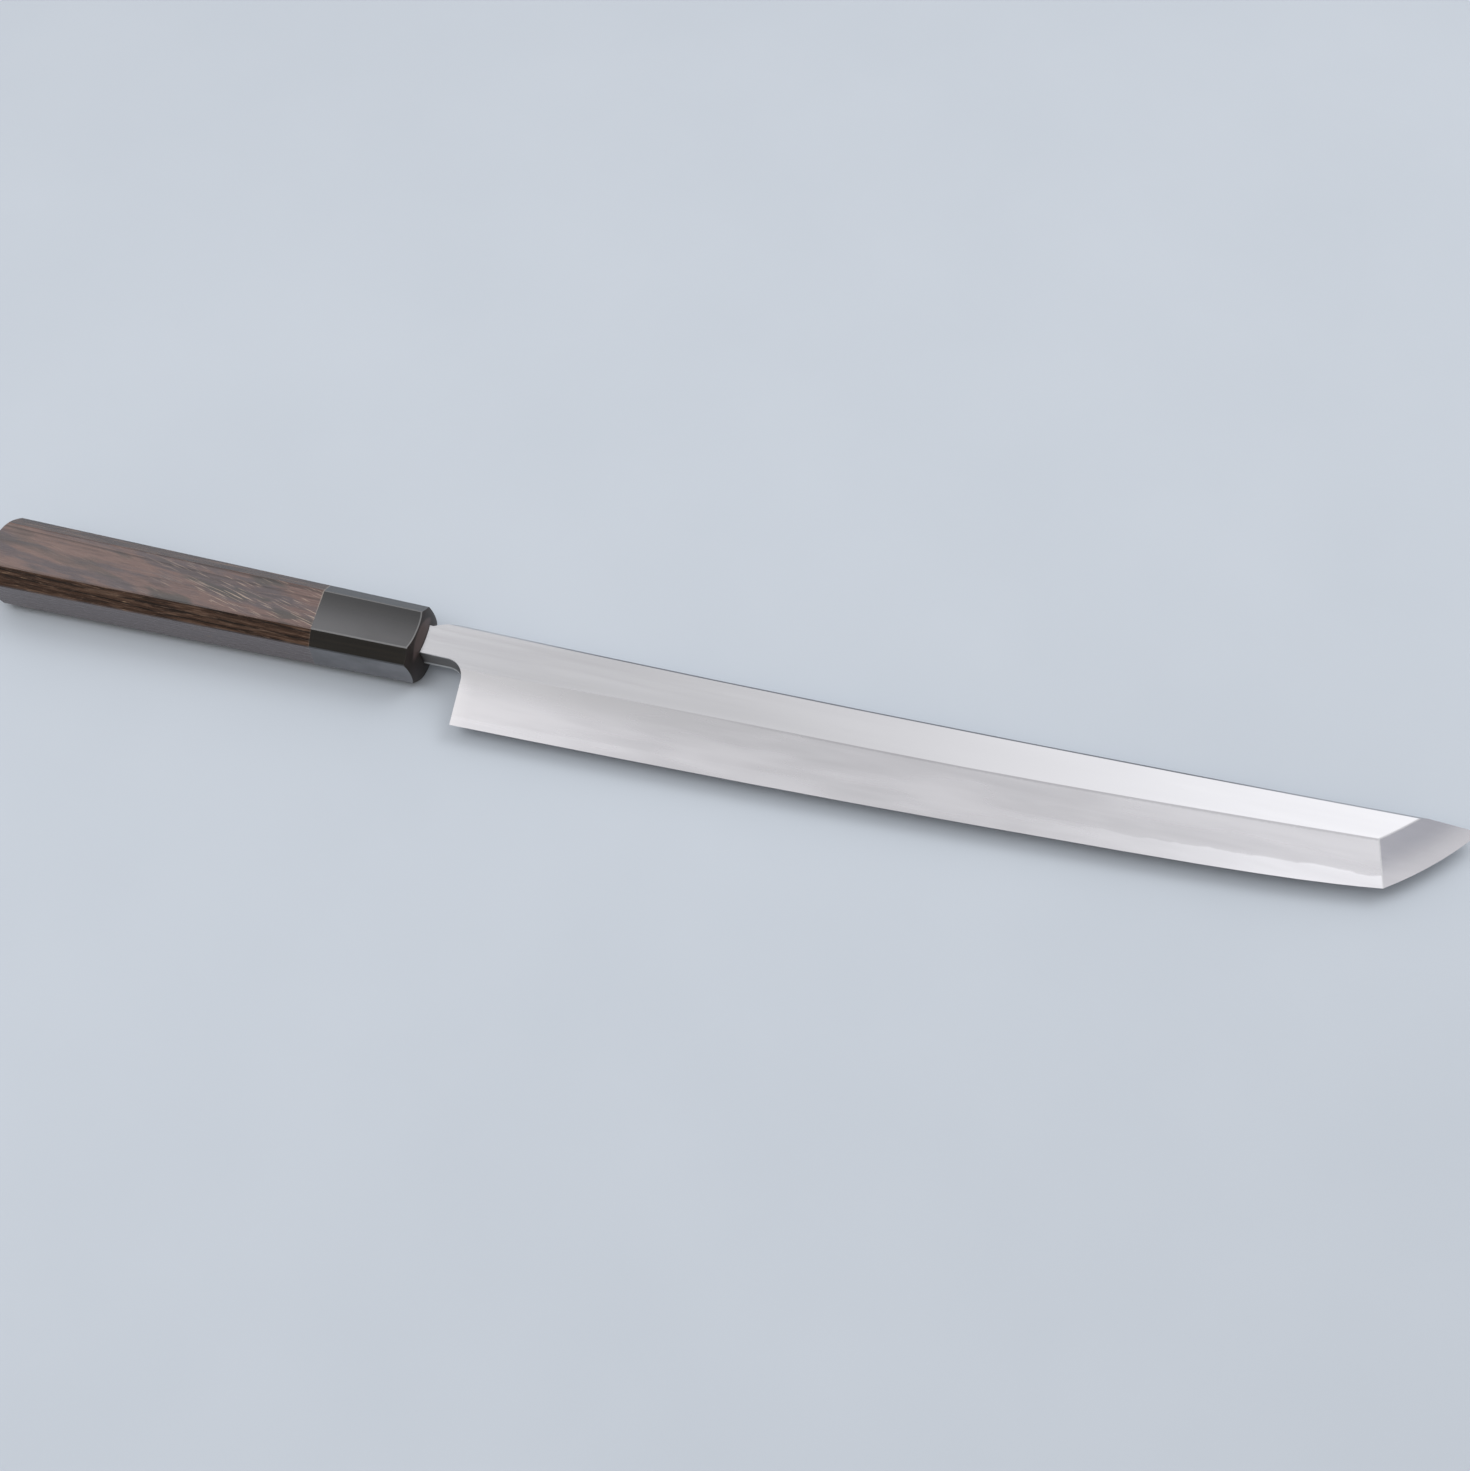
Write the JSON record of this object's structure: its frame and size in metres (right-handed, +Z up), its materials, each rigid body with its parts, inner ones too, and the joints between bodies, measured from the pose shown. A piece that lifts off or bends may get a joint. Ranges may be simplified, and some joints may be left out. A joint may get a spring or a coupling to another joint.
{
  "type": "sword-tipped slicing knife",
  "caption": "Long single-bevel slicing knife with a sword-like slanted tip, a hollow-ground back and an octagonal wooden handle with a horn ferrule.",
  "frame": {"origin": "on the surface that the knife lies on, under the middle of its overall length and width", "axes": "+X from the butt of the handle to the tip, +Y from the cutting edge to the spine, +Z up out of the bevelled side, away from the flat back"},
  "size_m": [0.487, 0.0373, 0.0212],
  "materials": {
    "polished_iron": "fine polish with soft lengthwise haze",
    "polished_steel": "bright fine polish",
    "black_horn": "polished buffalo horn",
    "dark_wood": "smooth wenge with fine straight grain",
    "pale_wood": "plain light wood, hidden inside the handle"
  },
  "bodies": {
    "root": {"blade_iron": "polished_iron", "blade_steel": "polished_steel", "ferrule": "black_horn", "grip": "dark_wood", "joining_dowel": "pale_wood"}
  },
  "joints": []
}
